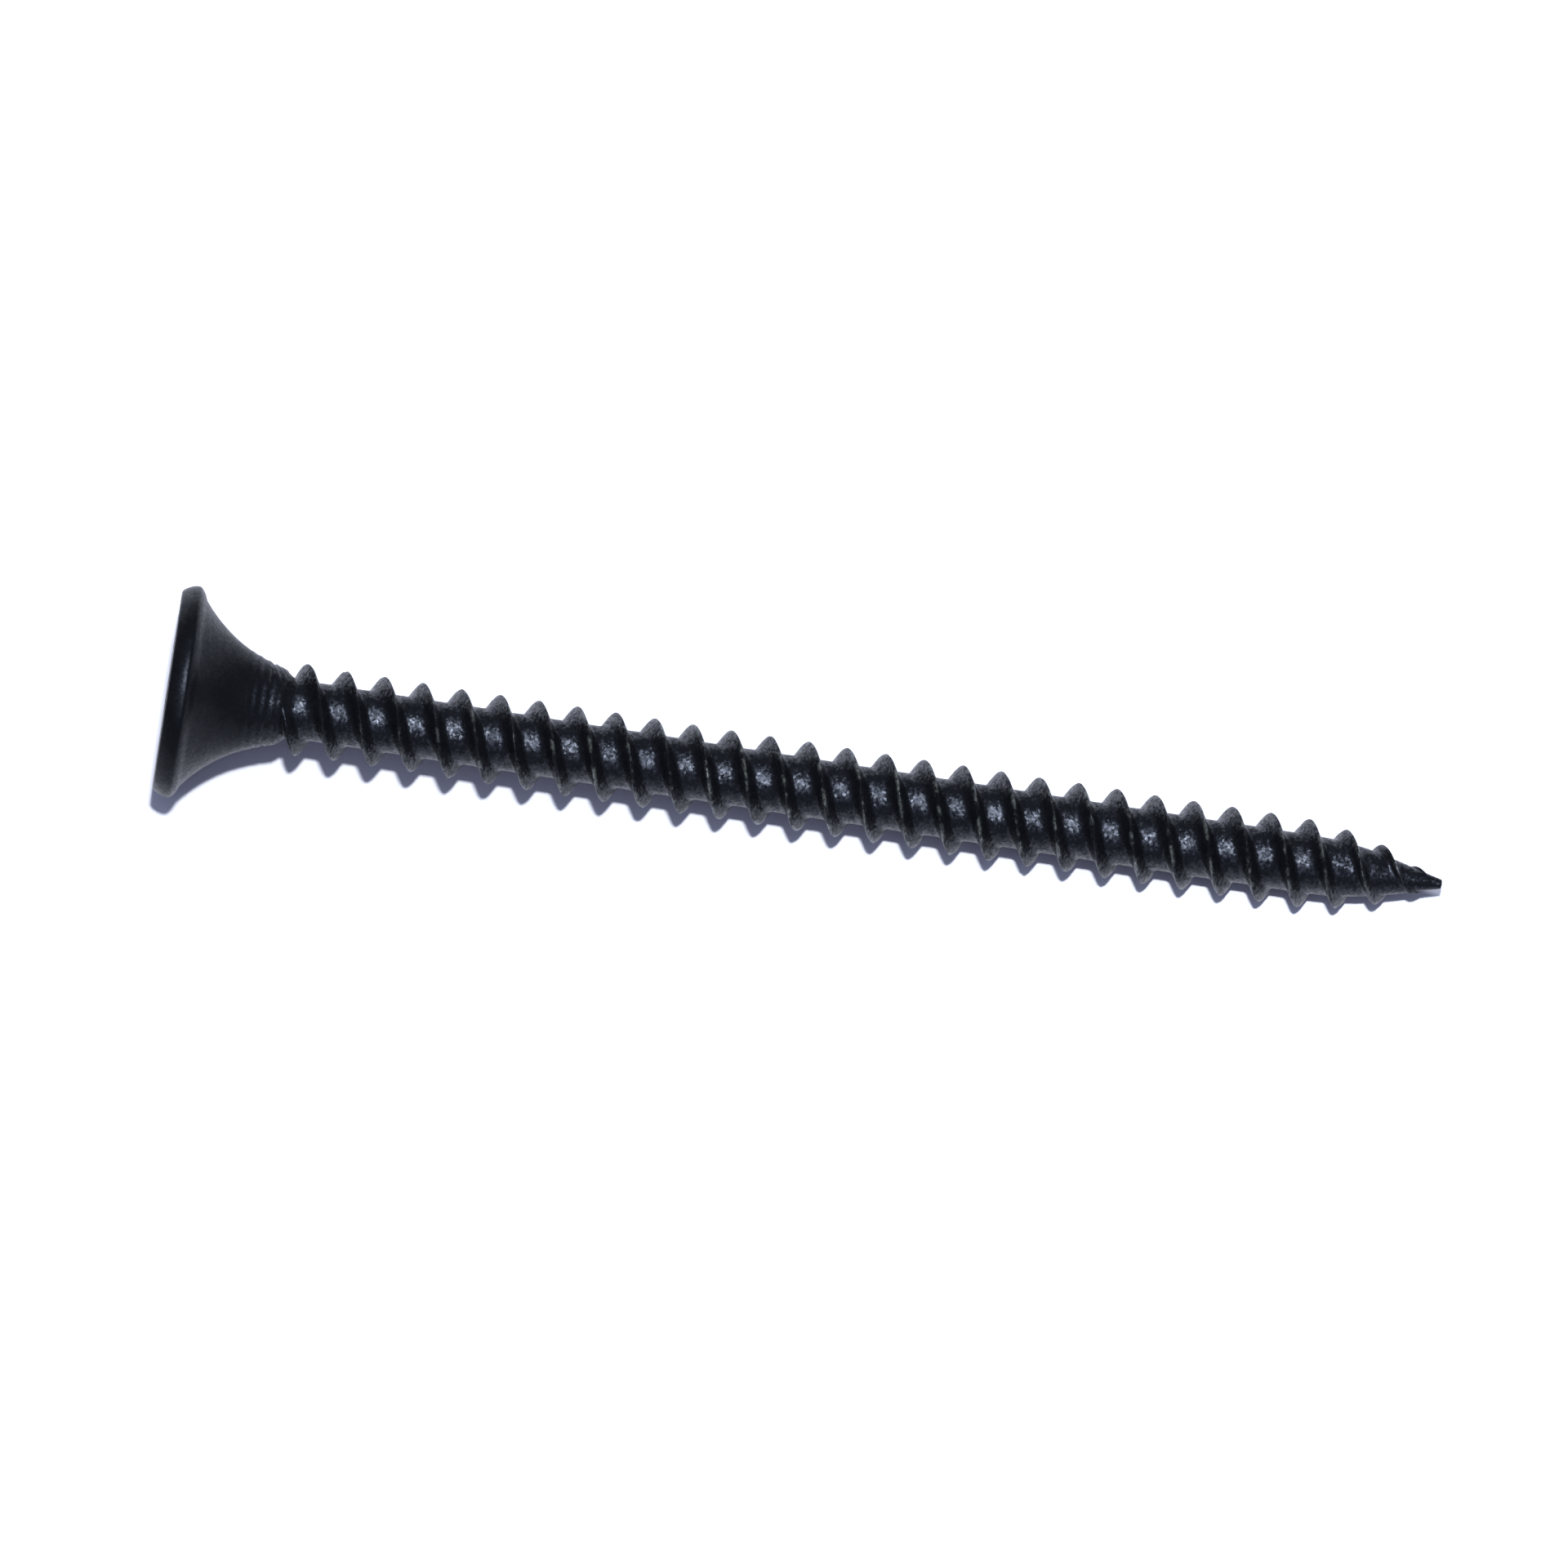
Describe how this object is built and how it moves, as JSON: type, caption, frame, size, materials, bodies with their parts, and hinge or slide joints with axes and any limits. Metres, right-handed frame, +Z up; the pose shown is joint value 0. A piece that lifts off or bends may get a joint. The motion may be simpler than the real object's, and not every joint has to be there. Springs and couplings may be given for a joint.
{
  "type": "bugle-head screw",
  "caption": "Black bugle-head screw: trumpet-shaped head with a cross recess, fine twin-start thread along its whole shank, and a sharp point.",
  "frame": {"origin": "centre of the head's flat face", "axes": "+X out of the head along the screw's axis, the point at -X; +Z up from the surface that the screw lies on; +Y across it"},
  "size_m": [0.05, 0.0082, 0.0082],
  "materials": {
    "black_phosphated_steel": "black phosphate coat on hardened steel, matte with fine sparkle"
  },
  "bodies": {
    "root": {"screw": "black_phosphated_steel"}
  },
  "joints": []
}
